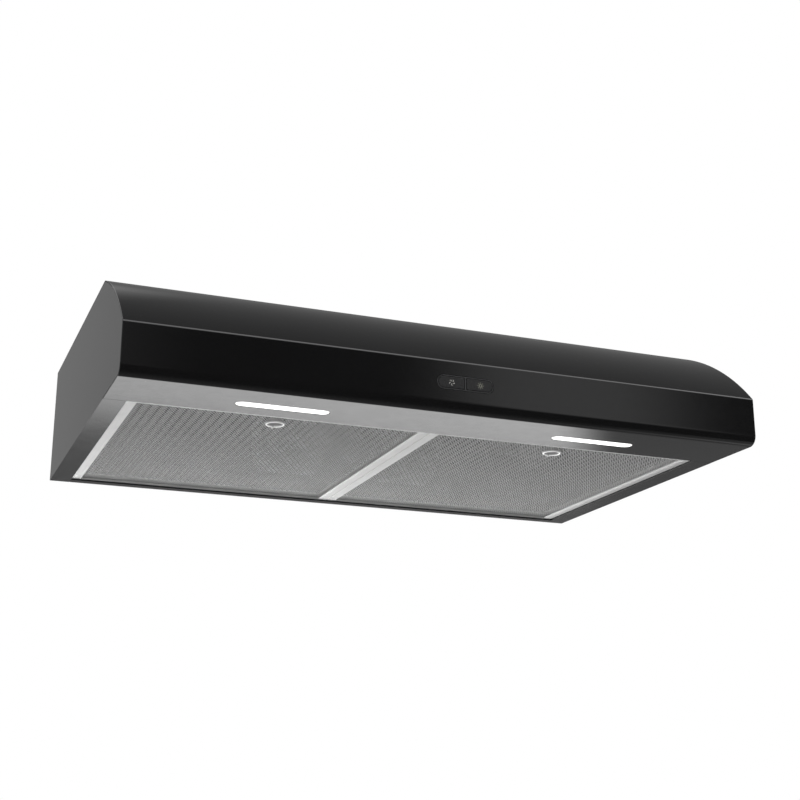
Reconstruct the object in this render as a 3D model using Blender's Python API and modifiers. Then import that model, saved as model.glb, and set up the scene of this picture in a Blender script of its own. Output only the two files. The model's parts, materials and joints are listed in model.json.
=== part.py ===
"""Under cabinet range hood, 30 inch class, with its blower, damper, lights, controls and two grease filters.

Metres, +Z up, +X to the right of someone who faces the hood, +Y towards the wall.
The origin is the middle of the flat top, where the cabinet's underside rests.
"""

import math

import bmesh
import bpy
from mathutils import Matrix, Vector

# ---- Driving dimensions -------------------------------------------------------------------------

WIDTH = 0.759
DEPTH = 0.494
HEIGHT = 0.149
WALL_Y = 0.180  # from the origin back to the wall
TOP_DEPTH = 0.360  # the flat top, out from the wall
FACE_HEIGHT = 0.0565  # the upright front, up from the bottom
CURVE_RADIUS = 0.3531  # the curved front
BEND_RADIUS = 0.007  # where the flat top turns into the curve
CREASE_RADIUS = 0.0035  # where the curve meets the upright front
NOSE_RADIUS = 0.012  # where the upright front turns into the bottom lip
SHEET = 0.001
GAP = 0.0003

OPENING_HALF = 0.354  # the filter opening, each side of the middle
OPENING_REAR = 0.014
OPENING_FRONT = 0.399
HEM_HEIGHT = 0.0018
UPSTAND = 0.012  # the lip's rear edge, turned up
FLANGE = 0.012  # the side panels' spot-weld flanges
SCREW_X = 0.330  # four keyholes, centred on the origin
SCREW_Y = 0.080

FILTER_HALF = 0.17655
FILTER_MIDDLE = 0.17695
FILTER_REAR = 0.011
FILTER_FRONT = 0.3984
FILTER_LOW = 0.0021
FILTER_HIGH = 0.0115
FRAME_WIDTH = 0.0123
FRONT_RAIL = 0.0092  # the frame's front and rear flanges are narrower
REAR_RAIL = 0.0046
FRAME_LIP = 0.0022
FRAME_SHEET = 0.001
MESH_SHEET = 0.0004
SPRING_SHEET = 0.0004
MESH_HEIGHTS = {"face": 0.0046, "core": 0.0073, "back": 0.0099}

PULL_OUT = 0.3565
RING_RADIUS = 0.0101
RING_WIRE = 0.0008
CUP_RADIUS = 0.0120
BOWL_RADIUS = 0.0080
CUP_SHEET = 0.0006
CUP_TOP = 0.0092

LIGHT_X = 0.1908
LIGHT_OUT = 0.4334
LIGHT_LENGTH = 0.1063
LIGHT_WIDTH = 0.0160
LIGHT_BOX_HALF = (0.061, 0.013)
LEAD_ENTRY = 0.0050  # up from the bottom, in the light box's inner end
DRIVER_X = 0.010
DRIVER_HALF = (0.030, 0.0185)

CONTROL_UP = 0.0320
BEZEL_LENGTH = 0.0684
BEZEL_HEIGHT = 0.0164
BEZEL_RIM = 0.0012
DIVIDER = 0.0016
BEZEL_PROUD = 0.0003
BUTTON_FLANGE = 0.0006
BEZEL_REAR = 0.4900  # these four are distances out from the wall
BUTTON_REAR = 0.4876
BOARD_FRONT = 0.4826
HOUSING_REAR = 0.4785
BOARD_SHEET = 0.0016

DUCT_LENGTH = 0.254
DUCT_REAR = 0.030
DUCT_FRONT = 0.113
COLLAR_HEIGHT = 0.040
COLLAR_FLANGE = 0.012
PIN_OUT = 0.0365
PIN_HEIGHT = 0.0100
PIN_RADIUS = 0.0015
KNUCKLE_RADIUS = 0.0028

BLOWER_OUT = 0.100
BLOWER_UP = 0.076
SCROLL_INNER = 0.045  # the scroll's two side walls, out from the middle
SCROLL_OUTER = 0.117
SCROLL_NEAR = 0.050  # the scroll's radius at its tongue
SCROLL_FAR = 0.064  # and where it turns straight up
SCROLL_SHEET = 0.0012
TONGUE = math.radians(100)
INLET_RADIUS = 0.037
WHEEL_RADIUS = 0.045
WHEEL_EYE = 0.034
BLADES = 22
SHAFT_RADIUS = 0.004
MOTOR_RADIUS = 0.038
MOTOR_HALF = 0.028
PLATE_FRONT = 0.205
PLATE_REAR = 0.022
PLATE_UNDER = -2 * (SHEET + GAP) - GAP  # top of whatever hangs under the blower plate

BOX_LEFT = 0.268
BOX_RIGHT = 0.362
BOX_DEPTH = 0.075
BOX_LOW = 0.0965
BUSHING_X = 0.315
BUSHING_OUT = 0.038
BUSHING_RADIUS = 0.0109
LEAD_RADIUS = 0.0022
LEAD_HOLES = {"motor": 0.300, "supply": 0.330}
LEAD_HOLE_UP = 0.125

ROUND = 28
FINE = 24
SIDES = {"left": -1, "right": 1}


def out(distance):
    """Y of a point this far out from the wall."""
    return WALL_Y - distance


def up(distance):
    """Z of a point this far above the hood's bottom."""
    return distance - HEIGHT


# ---- Scene, materials and objects ---------------------------------------------------------------


def clear_scene():
    for obj in list(bpy.data.objects):
        bpy.data.objects.remove(obj, do_unlink=True)


def collection(name):
    made = bpy.data.collections.new(name)
    bpy.context.scene.collection.children.link(made)
    return made


def material(name, color, metallic, roughness):
    made = bpy.data.materials.new(name)
    made.use_nodes = True
    shader = made.node_tree.nodes["Principled BSDF"]
    shader.inputs["Base Color"].default_value = (*color, 1)
    shader.inputs["Metallic"].default_value = metallic
    shader.inputs["Roughness"].default_value = roughness
    return made


clear_scene()
PARTS = collection("range_hood")
CUTTERS = collection("cutters")
PAINT = material("black_paint", (0.02, 0.02, 0.022), 0.0, 0.35)
ALUMINIUM = material("aluminium", (0.75, 0.75, 0.74), 1.0, 0.35)
MESH = material("filter_mesh", (0.55, 0.55, 0.55), 1.0, 0.45)
STEEL = material("galvanised_steel", (0.55, 0.57, 0.58), 1.0, 0.40)
PLASTIC = material("black_plastic", (0.03, 0.03, 0.03), 0.0, 0.40)
LENS = material("light_lens", (0.95, 0.95, 0.92), 0.0, 0.30)
BOARD = material("circuit_board", (0.03, 0.18, 0.07), 0.0, 0.50)
WIRE = material("lead_sleeve", (0.05, 0.05, 0.05), 0.0, 0.55)


def add(name, mesh, look, helper=False):
    """A new object: a part with its material, or a helper that only cuts or joins."""
    made = bpy.data.objects.new(name, mesh)
    (CUTTERS if helper else PARTS).objects.link(made)
    if helper:
        made.hide_render = True
        made.display_type = "WIRE"
    else:
        mesh.materials.append(look)
        mesh.shade_smooth()
        mesh.set_sharp_from_angle(angle=math.radians(30))
    return made


def combine(target, other, operation):
    modifier = target.modifiers.new(other.name, "BOOLEAN")
    modifier.operation = operation
    modifier.object = other


def cut(target, *cutters):
    for cutter in cutters:
        combine(target, cutter, "DIFFERENCE")


def join(target, *others):
    for other in others:
        combine(target, other, "UNION")


# ---- Outlines -----------------------------------------------------------------------------------


def arc(middle, radius, start, end, steps):
    """Points of an arc about the middle, with angles in radians."""
    angles = [start + (end - start) * step / steps for step in range(steps + 1)]
    return [(middle[0] + radius * math.cos(a), middle[1] + radius * math.sin(a)) for a in angles]


def circle(middle, radius, steps=ROUND):
    return arc(middle, radius, 0, math.tau, steps)[:-1]


def rectangle(low, high):
    return [low, (high[0], low[1]), high, (low[0], high[1])]


def stadium(middle, length, height, steps=12):
    """A slot with round ends, its long way along the first axis."""
    radius = height / 2
    reach = length / 2 - radius
    quarter = math.pi / 2
    right = arc((middle[0] + reach, middle[1]), radius, -quarter, quarter, steps)
    left = arc((middle[0] - reach, middle[1]), radius, quarter, 3 * quarter, steps)
    return right + left


def half_stadium(side, inner, outer, middle_up, height, steps=12):
    """One end of a slot, from the inner x to its round end at the outer x, on one side."""
    radius = height / 2
    turn = arc((outer - radius, 0), radius, -math.pi / 2, math.pi / 2, steps)
    points = [(inner, -radius)] + turn + [(inner, radius)]
    return [(side * x, middle_up + z) for x, z in points]


def fillet(before, corner, after, radius, steps):
    """Points of a rounded corner between two straight runs."""
    back = (before - corner).normalized()
    ahead = (after - corner).normalized()
    half = back.angle(ahead) / 2
    middle = corner + (back + ahead).normalized() * radius / math.sin(half)
    first = corner + back * radius / math.tan(half) - middle
    last = corner + ahead * radius / math.tan(half) - middle
    start = math.atan2(first.y, first.x)
    turn = math.remainder(math.atan2(last.y, last.x) - start, math.tau)
    return [Vector(point) for point in arc(middle, radius, start, start + turn, steps)]


def wrap_path(rear):
    """The shell's outer surface as (y, z), from the top's rear edge round to the lip's rear edge."""
    top_front = Vector((out(TOP_DEPTH), 0))
    crease = Vector((out(DEPTH), up(FACE_HEIGHT)))
    chord = crease - top_front
    rise = math.sqrt(CURVE_RADIUS**2 - (chord.length / 2) ** 2)
    middle = (top_front + crease) / 2 + Vector((-chord.y, chord.x)).normalized() * rise
    start = math.atan2(top_front.y - middle.y, top_front.x - middle.x)
    end = math.atan2(crease.y - middle.y, crease.x - middle.x)
    curve = [Vector(point) for point in arc(middle, CURVE_RADIUS, start, end, FINE)]
    nose_middle = (out(DEPTH - NOSE_RADIUS), up(NOSE_RADIUS))
    nose = [Vector(p) for p in arc(nose_middle, NOSE_RADIUS, math.pi, 1.5 * math.pi, 8)]
    rear_edge = Vector((out(rear), 0))
    bend = fillet(rear_edge, top_front, curve[1], BEND_RADIUS, 4)
    ridge = fillet(curve[-2], crease, nose[0], CREASE_RADIUS, 4)
    return [rear_edge] + bend + curve[1:-1] + ridge + nose


def offset(path, distance):
    """The path moved to its left by the distance, with square corners kept square."""
    moved = []
    for index, point in enumerate(path):
        normals = []
        for start, end in ((index - 1, index), (index, index + 1)):
            if start >= 0 and end < len(path):
                run = (path[end] - path[start]).normalized()
                normals.append(Vector((-run.y, run.x)))
        normal = sum(normals, Vector((0, 0))).normalized()
        moved.append(point + normal * distance / normal.dot(normals[0]))
    return moved


def strip(path, near, far):
    """The outline of a sheet that follows the path, between two distances from it."""
    return offset(path, near) + offset(path, far)[::-1]


# ---- Solids -------------------------------------------------------------------------------------

AXES = {
    "X": Matrix(((0, 0, 1, 0), (1, 0, 0, 0), (0, 1, 0, 0), (0, 0, 0, 1))),
    "Y": Matrix(((1, 0, 0, 0), (0, 0, 1, 0), (0, 1, 0, 0), (0, 0, 0, 1))),
    "Z": Matrix.Identity(4),
}


def solid_mesh(curve_object, matrix):
    """The curve's solid as a mesh, with its caps welded on and its faces pointing out."""
    PARTS.objects.link(curve_object)
    graph = bpy.context.evaluated_depsgraph_get()
    mesh = bpy.data.meshes.new_from_object(curve_object.evaluated_get(graph))
    curve = curve_object.data
    bpy.data.objects.remove(curve_object)
    bpy.data.curves.remove(curve)
    mesh.transform(matrix)
    edit = bmesh.new()
    edit.from_mesh(mesh)
    bmesh.ops.remove_doubles(edit, verts=edit.verts, dist=1e-6)
    bmesh.ops.recalc_face_normals(edit, faces=edit.faces)
    edit.to_mesh(mesh)
    edit.free()
    return mesh


def prism(name, outlines, low, high, axis, look=None):
    """An outline, with any holes, made thick from low to high along the axis.

    Along X the outline is (y, z), along Y it is (x, z), and along Z it is (x, y).
    """
    curve = bpy.data.curves.new(name, "CURVE")
    curve.dimensions = "2D"
    curve.fill_mode = "BOTH"
    curve.extrude = (high - low) / 2
    for outline in outlines:
        spline = curve.splines.new("POLY")
        spline.points.add(len(outline) - 1)
        for point, place in zip(spline.points, outline):
            point.co = (place[0], place[1], 0, 1)
        spline.use_cyclic_u = True
    lift = Matrix.Translation((0, 0, (low + high) / 2))
    mesh = solid_mesh(bpy.data.objects.new(name, curve), AXES[axis] @ lift)
    return add(name, mesh, look, helper=look is None)


def block(name, low, high, look=None):
    """A box between two opposite corners, in any order."""
    mesh = bpy.data.meshes.new(name)
    edit = bmesh.new()
    bmesh.ops.create_cube(edit, size=1)
    size = [abs(b - a) for a, b in zip(low, high)]
    middle = (Vector(low) + Vector(high)) / 2
    bmesh.ops.scale(edit, vec=size, verts=edit.verts)
    bmesh.ops.translate(edit, vec=middle, verts=edit.verts)
    edit.to_mesh(mesh)
    edit.free()
    return add(name, mesh, look, helper=look is None)


def turned(name, profile, place, look=None, toward=None, closed=True, steps=ROUND):
    """A profile of (radius, height) turned about an axis through the place.

    The profile runs down its outer side. A closed one is a ring with a hole along the axis.
    The axis is +Z, or points toward +X or -X.
    """
    mesh = bpy.data.meshes.new(name)
    edges = [(i, i + 1) for i in range(len(profile) - 1)]
    if closed:
        edges.append((len(profile) - 1, 0))
    mesh.from_pydata([(radius, 0, height) for radius, height in profile], edges, [])
    made = add(name, mesh, look, helper=look is None)
    made.location = place
    if toward:
        made.rotation_euler = (0, toward * math.pi / 2, 0)
    screw = made.modifiers.new("turn", "SCREW")
    screw.steps = steps
    screw.render_steps = steps
    screw.use_merge_vertices = True
    screw.merge_threshold = 0.00001
    return made


def rod(name, radius, start, end, look=None, steps=ROUND):
    """A straight round rod between two points."""
    run = Vector(end) - Vector(start)
    mesh = bpy.data.meshes.new(name)
    edit = bmesh.new()
    bmesh.ops.create_cone(
        edit, cap_ends=True, segments=steps, radius1=radius, radius2=radius, depth=run.length
    )
    edit.to_mesh(mesh)
    edit.free()
    spin = run.to_track_quat("Z", "Y").to_matrix().to_4x4()
    mesh.transform(Matrix.Translation((Vector(start) + Vector(end)) / 2) @ spin)
    return add(name, mesh, look, helper=look is None)


def smooth_route(points, spacing=0.016):
    """Evenly spread points of a smooth curve through the route's own points."""
    guide = [Vector(point) for point in points]
    runs = [(end - start).normalized() for start, end in zip(guide, guide[1:])]
    headings = [(a + b).normalized() for a, b in zip(runs[:1] + runs, runs + runs[-1:])]
    route = []
    for index, (start, end) in enumerate(zip(guide, guide[1:])):
        length = (end - start).length
        leave = headings[index] * length
        arrive = headings[index + 1] * length
        count = max(2, round(length / spacing))
        for step in range(count):
            t = step / count
            shape = start * (2 * t**3 - 3 * t**2 + 1) + end * (3 * t**2 - 2 * t**3)
            route.append(shape + leave * (t**3 - 2 * t**2 + t) + arrive * (t**3 - t**2))
    return route + [guide[-1]]


def lead(name, points, radius):
    """An insulated lead along a smooth route."""
    route = smooth_route(points)
    curve = bpy.data.curves.new(name, "CURVE")
    curve.dimensions = "3D"
    curve.bevel_depth = radius
    curve.bevel_resolution = 2
    curve.use_fill_caps = True
    spline = curve.splines.new("POLY")
    spline.points.add(len(route) - 1)
    for point, place in zip(spline.points, route):
        point.co = (*place, 1)
    mesh = solid_mesh(bpy.data.objects.new(name, curve), Matrix.Identity(4))
    return add(name, mesh, WIRE)


def open_box(name, low, high, wall, open_side, look):
    """A thin-walled box with one side left open, such as ("Z", -1) for its bottom."""
    made = block(name, low, high, look)
    inner_low = [value + wall for value in low]
    inner_high = [value - wall for value in high]
    axis = "XYZ".index(open_side[0])
    if open_side[1] < 0:
        inner_low[axis] = low[axis] - wall
    else:
        inner_high[axis] = high[axis] + wall
    cut(made, block(name + "_hollow", inner_low, inner_high))
    return made


# ---- Casing -------------------------------------------------------------------------------------


def keyhole(x, y):
    """A screw keyhole: a round hole for the head, with a slot towards the wall."""
    head = 0.0055
    neck = 0.0028
    reach = 0.011
    lean = math.asin(neck / head)
    round_end = arc((x, y), head, math.pi / 2 + lean, 2.5 * math.pi - lean, 16)
    slot_end = arc((x, y + reach), neck, 0, math.pi, 8)
    return round_end + slot_end


def hood_shell():
    half = WIDTH / 2
    path = wrap_path(0)
    path.append(Vector((out(OPENING_FRONT), up(0))))
    path.append(Vector((out(OPENING_FRONT), up(UPSTAND))))
    shell = prism("hood_shell", [strip(path, 0, SHEET)], -half, half, "X", PAINT)
    duct_half = DUCT_LENGTH / 2 - SHEET
    duct = block(
        "duct_hole",
        (-duct_half, out(DUCT_FRONT - SHEET), -0.005),
        (duct_half, out(DUCT_REAR + SHEET), 0.005),
    )
    cut(shell, duct)
    for side, sign in SIDES.items():
        for place, y in (("front", -SCREW_Y), ("rear", SCREW_Y)):
            slot = keyhole(sign * SCREW_X, y)
            cut(shell, prism(f"keyhole_{place}_{side}", [slot], -0.004, 0.004, "Z"))
    cable_hole = (BUSHING_X, out(BUSHING_OUT))
    cut(shell, prism("cable_hole", [circle(cable_hole, BUSHING_RADIUS + GAP)], -0.004, 0.004, "Z"))
    control = stadium((0, up(CONTROL_UP)), BEZEL_LENGTH + 2 * GAP, BEZEL_HEIGHT + 2 * GAP)
    cut(shell, prism("control_hole", [control], out(DEPTH + 0.002), out(DEPTH - 0.003), "Y"))
    for side, sign in SIDES.items():
        middle = (sign * LIGHT_X, out(LIGHT_OUT))
        slot = stadium(middle, LIGHT_LENGTH + 2 * GAP, LIGHT_WIDTH + 2 * GAP)
        cut(shell, prism("light_hole_" + side, [slot], up(-0.002), up(0.003), "Z"))
        relief = block(
            "upstand_relief_" + side,
            (sign * (half - 0.002), out(OPENING_FRONT - 0.001), up(SHEET)),
            (sign * (half + 0.002), out(OPENING_FRONT + SHEET + GAP), up(UPSTAND + 0.002)),
        )
        cut(shell, relief)


def folded(name, outline, folds, thickness, look):
    """A bent sheet: a flat wall with strips folded off its edges, each strip off the one before it.

    Each fold lists the outline's points that it leaves from, and the moves that it makes in turn.
    The sheet grows inwards from the wall's front, whose outline runs anticlockwise.
    """
    mesh = bpy.data.meshes.new(name)
    edit = bmesh.new()
    corners = [edit.verts.new(point) for point in outline]
    edit.faces.new(corners)
    for first, last, moves in folds:
        row = corners[first : last + 1]
        for move in moves:
            fresh = [edit.verts.new(corner.co + Vector(move)) for corner in row]
            for a, b, c, d in zip(row, row[1:], fresh[1:], fresh):
                edit.faces.new((b, a, d, c))
            row = fresh
    edit.to_mesh(mesh)
    edit.free()
    made = add(name, mesh, look)
    solidify = made.modifiers.new("sheet", "SOLIDIFY")
    solidify.thickness = thickness
    solidify.offset = -1
    solidify.solidify_mode = "NON_MANIFOLD"
    solidify.nonmanifold_thickness_mode = "CONSTRAINTS"
    solidify.nonmanifold_merge_threshold = 0.00001
    return made


def side_panel(side, sign):
    """A side wall with its spot-weld flange along the wrap and its bottom flange along the opening."""
    half = sign * WIDTH / 2
    inset = SHEET + GAP
    around = wrap_path(inset)
    face_end = len(around) - 9
    path = offset(around, inset)
    front = out(OPENING_FRONT - GAP)
    path += [Vector((front, up(inset))), Vector((front, up(0))), Vector((WALL_Y, up(0)))]
    path += [Vector((WALL_Y, -inset))]
    bottom = len(path) - 3
    outline = [(half, y, z) for y, z in path]
    inward = -sign * (WIDTH / 2 - OPENING_HALF)
    folds = [
        (0, face_end, [(-sign * FLANGE, 0, 0)]),
        (bottom, bottom + 1, [(inward, 0, 0), (0, 0, HEM_HEIGHT)]),
    ]
    panel = folded(f"side_panel_{side}", outline, folds, SHEET, PAINT)
    if sign < 0:
        panel.data.flip_normals()


def knockout_corners(grow):
    """Corners of the rear duct knockout as (x, z), made larger by grow."""
    half = DUCT_LENGTH / 2 + grow
    return (-half, up(0.055) - grow), (half, up(0.138) + grow)


def rear_panel():
    half = WIDTH / 2 - SHEET - GAP
    foot = OPENING_HALF - GAP
    step = up(HEM_HEIGHT + GAP)
    top = -SHEET - GAP
    outline = [
        (foot, up(0)),
        (foot, step),
        (half, step),
        (half, top),
        (-half, top),
        (-half, step),
        (-foot, step),
        (-foot, up(0)),
    ]
    wall = [(x, WALL_Y, z) for x, z in outline[::-1]]
    moves = [(0, -OPENING_REAR, 0), (0, 0, HEM_HEIGHT)]
    bottom = [wall[-1]] + wall[:-1]
    panel = folded("rear_panel", bottom, [(0, 1, moves)], SHEET, PAINT)
    (left, low), (right, high) = knockout_corners(GAP)
    window = block("knockout_hole", (left, out(0.005), low), (right, WALL_Y + 0.005, high))
    cut(panel, window)
    plate = rectangle(*knockout_corners(0))
    prism("rear_knockout", [plate], out(SHEET), WALL_Y, "Y", PAINT)


# ---- Duct collar and damper ---------------------------------------------------------------------


def duct_outline(grow):
    """The duct's outer outline as (x, y), made larger by grow."""
    half = DUCT_LENGTH / 2 + grow
    return rectangle((-half, out(DUCT_FRONT) - grow), (half, out(DUCT_REAR) + grow))


def duct_collar():
    inside = duct_outline(-SHEET)
    top = GAP + COLLAR_HEIGHT
    collar = prism("duct_collar", [duct_outline(0), inside], GAP, top, "Z", STEEL)
    flange = prism("collar_flange", [duct_outline(COLLAR_FLANGE), inside], GAP, GAP + SHEET, "Z")
    stop = block(
        "damper_stop",
        (-DUCT_LENGTH / 2 + SHEET / 2, out(DUCT_FRONT - SHEET / 2), 0.0050),
        (DUCT_LENGTH / 2 - SHEET / 2, out(DUCT_FRONT - 0.006), 0.0060),
    )
    join(collar, flange, stop)
    reach = DUCT_LENGTH / 2 + 0.003
    bore = rod(
        "pin_bore",
        PIN_RADIUS + GAP,
        (-reach, out(PIN_OUT), PIN_HEIGHT),
        (reach, out(PIN_OUT), PIN_HEIGHT),
        steps=16,
    )
    cut(collar, bore)


def damper():
    reach = DUCT_LENGTH / 2 + 0.002
    axis = (out(PIN_OUT), PIN_HEIGHT)
    rod(
        "damper_pin",
        PIN_RADIUS,
        (-reach, *axis),
        (reach, *axis),
        STEEL,
        steps=16,
    )
    half = DUCT_LENGTH / 2 - SHEET - 0.001
    knuckle = [circle((0, 0), KNUCKLE_RADIUS, 16), circle((0, 0), PIN_RADIUS + GAP, 16)]
    flap = prism("damper_flap", knuckle, -half, half, "X", STEEL)
    flap.location = (0, *axis)
    low = -KNUCKLE_RADIUS
    front = PIN_OUT - DUCT_FRONT + SHEET + 0.001
    leaf = block("damper_leaf", (-half, front, low), (half, -0.0010, low + 0.0009))
    leaf.location = flap.location
    join(flap, leaf)


# ---- Blower -------------------------------------------------------------------------------------


def blower_axis(x=0.0):
    return (x, out(BLOWER_OUT), up(BLOWER_UP))


def scroll_outline(grow, top):
    """The volute as (y, z): a spiral that opens from the tongue, with a neck up to the top."""
    axis = blower_axis()
    start = TONGUE + (math.radians(1.5) if grow else 0)
    points = []
    for step in range(FINE + 1):
        angle = start + (math.tau - start) * step / FINE
        share = (angle - TONGUE) / (math.tau - TONGUE)
        radius = SCROLL_NEAR + (SCROLL_FAR - SCROLL_NEAR) * share + grow
        points.append((axis[1] + radius * math.cos(angle), axis[2] + radius * math.sin(angle)))
    return points + [(points[-1][0], top), (points[0][0], top)]


def scroll(side, sign):
    top = PLATE_UNDER
    walls = sorted((sign * SCROLL_INNER, sign * SCROLL_OUTER))
    housing = prism(f"scroll_{side}", [scroll_outline(SCROLL_SHEET, top)], *walls, "X", STEEL)
    inner = (walls[0] + SCROLL_SHEET, walls[1] - SCROLL_SHEET)
    hollow = prism(f"scroll_hollow_{side}", [scroll_outline(0, top + 0.01)], *inner, "X")
    inlet = rod(
        f"inlet_hole_{side}",
        INLET_RADIUS,
        blower_axis(sign * (SCROLL_OUTER - 0.01)),
        blower_axis(sign * (SCROLL_OUTER + 0.01)),
    )
    shaft_hole = rod(
        f"shaft_hole_{side}",
        0.012,
        blower_axis(sign * (SCROLL_INNER - 0.01)),
        blower_axis(sign * (SCROLL_INNER + 0.01)),
        steps=FINE,
    )
    cut(housing, hollow, inlet, shaft_hole)


def inlet_ring(side, sign):
    """The bell mouth on a scroll's outer wall, with a neck that reaches in to the wheel's eye."""
    neck = INLET_RADIUS - GAP
    profile = [
        (0.0455, GAP + 0.0045),
        (0.0463, GAP + 0.0038),
        (0.0430, GAP),
        (neck, GAP),
        (neck, -0.0050),
        (neck - SCROLL_SHEET, -0.0050),
        (neck - SCROLL_SHEET, GAP + 0.0006),
        (neck - 0.0006, GAP + SCROLL_SHEET),
        (0.0424, GAP + SCROLL_SHEET),
    ]
    turned(f"inlet_ring_{side}", profile, blower_axis(sign * SCROLL_OUTER), STEEL, toward=sign)


def blower_wheel(side, sign):
    """A squirrel cage: a back disc with its hub, a ring of leaning blades and an end ring."""
    back = SCROLL_INNER + 0.005
    front = SCROLL_OUTER - 0.008
    bore = SHAFT_RADIUS + GAP
    hub = 0.010
    disc = [
        (WHEEL_RADIUS, 0.0015),
        (WHEEL_RADIUS, 0),
        (bore, 0),
        (bore, 0.016),
        (hub, 0.016),
        (hub, 0.0015),
    ]
    place = blower_axis(sign * back)
    wheel = turned(f"blower_wheel_{side}", disc, place, PLASTIC, toward=sign)
    high = front - back
    ring = [
        (WHEEL_RADIUS, high),
        (WHEEL_RADIUS, high - 0.003),
        (WHEEL_EYE + 0.005, high - 0.003),
        (WHEEL_EYE + 0.005, high),
    ]
    end_ring = turned(f"end_ring_{side}", ring, place, toward=sign)
    mesh = bpy.data.meshes.new(f"blades_{side}")
    edit = bmesh.new()
    length = high - 0.002
    chord = WHEEL_RADIUS - WHEEL_EYE - 0.0010
    for index in range(BLADES):
        blade = bmesh.ops.create_cube(edit, size=1)["verts"]
        bmesh.ops.scale(edit, vec=(length, chord, 0.0012), verts=blade)
        bmesh.ops.rotate(edit, matrix=Matrix.Rotation(math.radians(-24), 3, "X"), verts=blade)
        bmesh.ops.translate(edit, vec=(0, (WHEEL_RADIUS + WHEEL_EYE) / 2, 0), verts=blade)
        spin = Matrix.Rotation(math.tau * index / BLADES, 3, "X")
        bmesh.ops.rotate(edit, matrix=spin, verts=blade)
    middle = blower_axis(sign * (back + 0.0005 + length / 2))
    bmesh.ops.translate(edit, vec=middle, verts=edit.verts)
    edit.to_mesh(mesh)
    edit.free()
    blades = add(f"blades_{side}", mesh, None, helper=True)
    join(wheel, blades, end_ring)


def motor():
    bore = SHAFT_RADIUS + GAP
    boss = 0.013
    profile = [
        (boss, MOTOR_HALF + 0.006),
        (boss, MOTOR_HALF),
        (MOTOR_RADIUS - 0.005, MOTOR_HALF),
        (MOTOR_RADIUS, MOTOR_HALF - 0.005),
        (MOTOR_RADIUS, 0.005 - MOTOR_HALF),
        (MOTOR_RADIUS - 0.005, -MOTOR_HALF),
        (boss, -MOTOR_HALF),
        (boss, -MOTOR_HALF - 0.006),
        (bore, -MOTOR_HALF - 0.006),
        (bore, MOTOR_HALF + 0.006),
    ]
    turned("motor_body", profile, blower_axis(), STEEL, toward=1)
    end = SCROLL_INNER + 0.024
    rod("motor_shaft", SHAFT_RADIUS, blower_axis(-end), blower_axis(end), STEEL, steps=FINE)


def motor_cradle():
    """A band round the motor, hung on two legs from a foot under the blower plate."""
    half = 0.010
    axis = blower_axis()
    top = PLATE_UNDER
    middle = (axis[1], axis[2])
    inner = MOTOR_RADIUS + GAP
    band = [circle(middle, inner + 0.0015), circle(middle, inner)]
    cradle = prism("motor_cradle", band, -half, half, "X", STEEL)
    foot = block("cradle_foot", (-half, axis[1] - 0.036, top - 0.0015), (half, axis[1] + 0.036, top))
    join(cradle, foot)
    for index, sign in enumerate((-1, 1)):
        near = axis[1] + sign * 0.0285
        leg = block(
            f"cradle_leg_{index}",
            (-half, near, axis[2] + 0.0262),
            (half, near + sign * 0.0015, top - 0.0005),
        )
        join(cradle, leg)


def blower_plate():
    low = -2 * (SHEET + GAP)
    reach = SCROLL_OUTER + 0.010
    outline = rectangle((-reach, out(PLATE_FRONT)), (reach, out(PLATE_REAR)))
    openings = []
    axis = blower_axis()
    front = axis[1] + SCROLL_NEAR * math.cos(TONGUE)
    rear = axis[1] + SCROLL_FAR
    for sign in SIDES.values():
        near = sign * (SCROLL_INNER + SCROLL_SHEET)
        far = sign * (SCROLL_OUTER - SCROLL_SHEET)
        openings.append(rectangle((min(near, far), front), (max(near, far), rear)))
    prism("blower_plate", [outline] + openings, low, low + SHEET, "Z", STEEL)


def capacitor():
    top = PLATE_UNDER
    radius = 0.014
    centre = (out(0.180), top - radius - 0.0018)
    x = -0.060
    rod("run_capacitor", radius, (x - 0.026, *centre), (x + 0.026, *centre), PLASTIC)
    band = [circle(centre, radius + GAP + SHEET), circle(centre, radius + GAP)]
    strap = prism("capacitor_strap", band, x - 0.006, x + 0.006, "X", STEEL)
    foot = block(
        "strap_foot",
        (x - 0.006, centre[0] - 0.022, top - 0.0011),
        (x + 0.006, centre[0] + 0.022, top),
    )
    join(strap, foot)


# ---- Wiring -------------------------------------------------------------------------------------


def wiring_box():
    top = -SHEET - GAP
    box = open_box(
        "wiring_box",
        (BOX_LEFT, out(BOX_DEPTH), up(BOX_LOW)),
        (BOX_RIGHT, out(SHEET + 2 * GAP), top),
        SHEET,
        ("Y", -1),
        STEEL,
    )
    place = (BUSHING_X, out(BUSHING_OUT))
    hole = [circle(place, BUSHING_RADIUS + GAP)]
    cut(box, prism("box_cable_hole", hole, top - 0.004, top + 0.004, "Z"))
    face = rectangle((BOX_LEFT, up(BOX_LOW)), (BOX_RIGHT, top))
    holes = [circle((x, up(LEAD_HOLE_UP)), LEAD_RADIUS + 2 * GAP, 16) for x in LEAD_HOLES.values()]
    front = out(BOX_DEPTH + GAP)
    prism("wiring_box_cover", [face] + holes, front - SHEET, front, "Y", STEEL)
    profile = [
        (0.0125, 0.0035),
        (0.0140, 0.0025),
        (0.0140, GAP),
        (BUSHING_RADIUS, GAP),
        (BUSHING_RADIUS, -0.0070),
        (0.0070, -0.0070),
        (0.0070, 0.0035),
    ]
    turned("cable_bushing", profile, (*place, 0), PLASTIC)


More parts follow.
